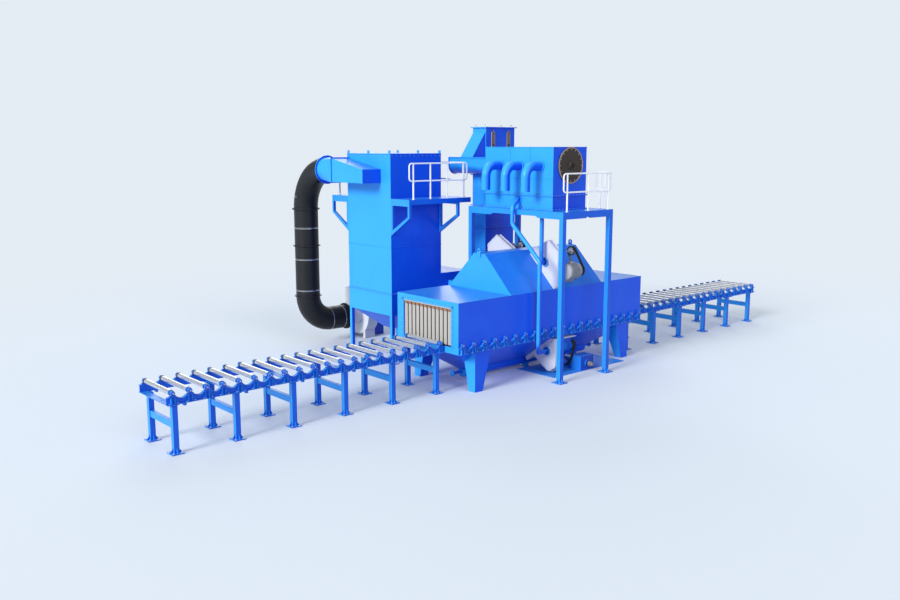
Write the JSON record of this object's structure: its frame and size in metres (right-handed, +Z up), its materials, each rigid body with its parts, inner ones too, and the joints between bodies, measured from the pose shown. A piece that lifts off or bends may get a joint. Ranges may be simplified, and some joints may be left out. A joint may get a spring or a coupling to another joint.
{
  "type": "shot blasting machine",
  "caption": "Roller-conveyor pass-through shot blasting plant with chamber, blast wheels, bucket elevator, separator platform and dust collector.",
  "frame": {"origin": "on the floor below the middle of the blast chamber, on the conveyor centreline, at the underside of the middle trough foot", "axes": "+X along the conveyor towards the outfeed, +Y from the operator's side to the dust collector, +Z up"},
  "size_m": [23.57, 9.955, 7.225],
  "materials": {
    "frame_blue": "gloss paint on welded sections",
    "housing_blue": "gloss paint on sheet steel",
    "bearing_blue": "painted cast housing",
    "roller_steel": "turned steel tube, worn bright",
    "curtain": "matt rubber strip",
    "wheel_white": "off-white gloss paint",
    "drive_grey": "silver-grey paint",
    "drive_blue": "gloss paint on cast iron",
    "pipe_blue": "gloss paint on steel pipe",
    "drum_brown": "matt dark paint",
    "rail_white": "white gloss paint on tube",
    "duct_black": "satin black paint on rolled sheet"
  },
  "bodies": {
    "root": {"infeed_bed": "frame_blue", "infeed_rollers": "roller_steel", "infeed_legs": "frame_blue", "outfeed_bed": "frame_blue", "outfeed_rollers": "roller_steel", "outfeed_legs": "frame_blue", "roller_bearings": "bearing_blue", "chamber_far_wall": "housing_blue", "chamber_near_wall": "housing_blue", "chamber_infeed_end": "housing_blue", "chamber_outfeed_end": "housing_blue", "chamber_roof": "housing_blue", "chamber_rollers": "roller_steel", "chamber_bearing_rails": "frame_blue", "infeed_curtain": "curtain", "outfeed_curtain": "curtain", "lower_hopper": "housing_blue", "screw_trough": "housing_blue", "chamber_legs": "housing_blue", "upper_blast_wheels": "wheel_white", "upper_wheel_drives": "drive_grey", "lower_blast_wheels": "wheel_white", "lower_wheel_drives": "drive_blue", "feed_pipes": "pipe_blue", "separator_housing": "housing_blue", "separator_drum_end": "drum_brown", "separator_vents": "housing_blue", "separator_platform": "frame_blue", "separator_columns": "frame_blue", "separator_handrail": "rail_white", "elevator_casing": "housing_blue", "elevator_head": "housing_blue", "transfer_trough": "housing_blue", "collector_body": "housing_blue", "collector_hopper": "housing_blue", "collector_legs": "frame_blue", "collector_walkway": "frame_blue", "collector_handrails": "rail_white", "collector_inlet": "housing_blue", "exhaust_duct": "duct_black", "exhaust_fan": "wheel_white", "fan_motor": "drive_blue", "dust_box": "housing_blue", "pit_cover": "housing_blue", "screw_drive": "drive_blue"}
  },
  "joints": []
}
